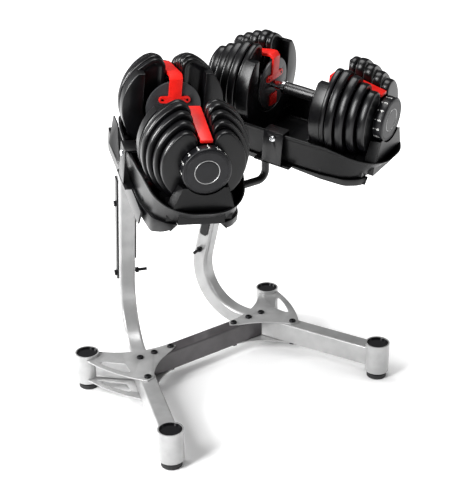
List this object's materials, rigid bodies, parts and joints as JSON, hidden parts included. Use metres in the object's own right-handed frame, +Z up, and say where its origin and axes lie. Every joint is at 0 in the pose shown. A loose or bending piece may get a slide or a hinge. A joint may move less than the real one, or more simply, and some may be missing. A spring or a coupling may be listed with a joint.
{
  "type": "adjustable dumbbells on a stand",
  "caption": "Dial-selected dumbbells with slotted plates, resting in two splayed trays on a V-shaped floor stand with bent uprights.",
  "frame": {"origin": "on the floor, under the middle of the whole object's box", "axes": "+Z up, +X to the user's right, +Y to the back, away from the user; the object is a mirror image about X = 0"},
  "size_m": [0.6698, 0.5797, 0.842],
  "materials": {
    "black_oxide": "black oxide fasteners",
    "black_steel": "satin black powder coat on sheet steel",
    "bright_steel": "zinc plated steel fasteners",
    "cap_plastic": "glossy black plastic caps",
    "chrome": "polished chrome on steel",
    "dark_paint": "dark grey powder coat on steel",
    "dial_plastic": "moulded black plastic with white numbers",
    "grip_rubber": "satin black moulded grip",
    "hub_paint": "grey painted steel discs",
    "plate_iron": "weight plates in a satin black moulded skin",
    "red_plastic": "semi-gloss red bridges",
    "rubber": "black rubber",
    "selector_steel": "plain turned steel",
    "silver_paint": "satin silver powder coat on steel tube",
    "tray_plastic": "moulded black plastic"
  },
  "bodies": {
    "stand": {"crossbar": "dark_paint", "left_leg": "silver_paint", "right_leg": "silver_paint", "left_upper_gusset": "silver_paint", "right_upper_gusset": "silver_paint", "left_lower_gusset": "silver_paint", "right_lower_gusset": "silver_paint", "foot_cups": "silver_paint", "cup_caps": "cap_plastic", "rubber_feet": "rubber", "base_bolts": "black_oxide", "base_nuts": "black_oxide", "left_upright": "silver_paint", "right_upright": "silver_paint", "side_straps": "black_steel", "upright_bolts": "black_oxide", "upright_nuts": "black_oxide", "left_tray": "tray_plastic", "right_tray": "tray_plastic", "left_tray_pan": "black_steel", "right_tray_pan": "black_steel", "left_clamp": "black_steel", "right_clamp": "black_steel", "clamp_bolts": "bright_steel", "pan_bolts": "black_oxide", "joining_tube": "black_steel", "left_plates_1": "plate_iron", "left_plates_2": "plate_iron", "left_plates_3": "plate_iron", "right_plates_1": "plate_iron", "right_plates_2": "plate_iron", "right_plates_3": "plate_iron"},
    "left_handle": {"left_grip": "grip_rubber", "left_centre_rod": "chrome", "left_grip_collars": "chrome", "left_bridges": "red_plastic", "left_hubs": "hub_paint", "left_hub_screws": "black_oxide", "left_plates_4": "plate_iron", "left_plates_5": "plate_iron"},
    "left_front_dial_set": {"left_front_selector": "selector_steel", "left_front_dial": "dial_plastic", "left_front_dial_cap": "dial_plastic"},
    "left_rear_dial_set": {"left_rear_selector": "selector_steel", "left_rear_dial": "dial_plastic", "left_rear_dial_cap": "dial_plastic"},
    "right_handle": {"right_grip": "grip_rubber", "right_centre_rod": "chrome", "right_grip_collars": "chrome", "right_bridges": "red_plastic", "right_hubs": "hub_paint", "right_hub_screws": "black_oxide", "right_plates_4": "plate_iron", "right_plates_5": "plate_iron"},
    "right_front_dial_set": {"right_front_selector": "selector_steel", "right_front_dial": "dial_plastic", "right_front_dial_cap": "dial_plastic"},
    "right_rear_dial_set": {"right_rear_selector": "selector_steel", "right_rear_dial": "dial_plastic", "right_rear_dial_cap": "dial_plastic"}
  },
  "joints": [
    {"name": "left_dumbbell_lift", "type": "slide", "parent": "stand", "child": "left_handle", "axis": [0.0313, -0.147, 0.9886], "range_m": [0, 0.25]},
    {"name": "left_front_dial_turn", "type": "hinge", "parent": "left_handle", "child": "left_front_dial_set", "pos_m": [-0.24097, -0.26079, 0.69808], "axis": [-0.3684, -0.9212, -0.1253], "continuous": true},
    {"name": "left_rear_dial_turn", "type": "hinge", "parent": "left_handle", "child": "left_rear_dial_set", "pos_m": [-0.08623, 0.1261, 0.75072], "axis": [0.3684, 0.9212, 0.1253], "continuous": true},
    {"name": "right_dumbbell_lift", "type": "slide", "parent": "stand", "child": "right_handle", "axis": [-0.0313, -0.147, 0.9886], "range_m": [0, 0.25]},
    {"name": "right_front_dial_turn", "type": "hinge", "parent": "right_handle", "child": "right_front_dial_set", "pos_m": [0.24097, -0.26079, 0.69808], "axis": [0.3684, -0.9212, -0.1253], "continuous": true},
    {"name": "right_rear_dial_turn", "type": "hinge", "parent": "right_handle", "child": "right_rear_dial_set", "pos_m": [0.08623, 0.1261, 0.75072], "axis": [-0.3684, 0.9212, 0.1253], "continuous": true}
  ]
}
